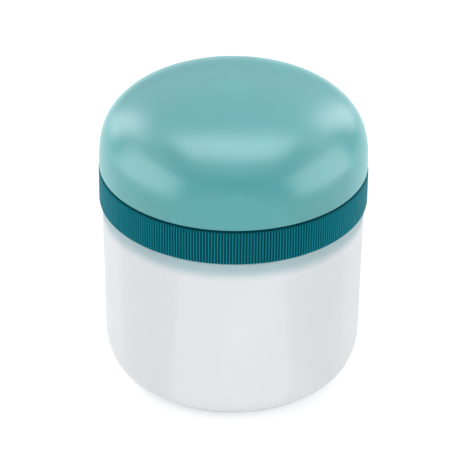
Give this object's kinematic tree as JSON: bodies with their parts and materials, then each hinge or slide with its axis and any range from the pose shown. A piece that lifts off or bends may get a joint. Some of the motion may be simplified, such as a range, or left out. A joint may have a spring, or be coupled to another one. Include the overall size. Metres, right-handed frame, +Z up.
{
  "type": "twist-top jar",
  "caption": "Round frosted plastic jar with a finely ribbed screw ring, a loose sealing disc that closes its neck, and a domed push-on cap with a compartment inside.",
  "frame": {"origin": "centre of the jar's foot, on the surface that it stands on", "axes": "+Z up along the axis of the jar, the ring and the cap. The object is round, so +X and +Y only set where the lugs and seat ribs start"},
  "size_m": [0.1044, 0.1044, 0.1215],
  "materials": {
    "frosted_plastic": "satin",
    "dark_teal_plastic": "satin",
    "light_teal_plastic": "satin",
    "disc_plastic": "satin",
    "seal_silicone": "matte"
  },
  "bodies": {
    "jar": {"jar": "frosted_plastic"},
    "sealing_disc": {"sealing_disc": "disc_plastic", "disc_gasket": "seal_silicone"},
    "screw_ring": {"screw_ring": "dark_teal_plastic", "cap_seal": "seal_silicone"},
    "dome_cap": {"dome_cap": "light_teal_plastic"}
  },
  "joints": [
    {"name": "lid_rise", "type": "slide", "parent": "jar", "child": "sealing_disc", "axis": [0, 0, 1], "range_m": [0, 0.0121]},
    {"name": "ring_turn", "type": "hinge", "parent": "sealing_disc", "child": "screw_ring", "pos_m": [0, 0, 0.074], "axis": [0, 0, 1], "range_deg": [0, 540]},
    {"name": "cap_pull", "type": "slide", "parent": "screw_ring", "child": "dome_cap", "axis": [0, 0, 1], "range_m": [0, 0.045]}
  ],
  "couplings": [
    {"joint": "lid_rise", "follows": "ring_turn", "m_per_rad": 0.0012732}
  ]
}
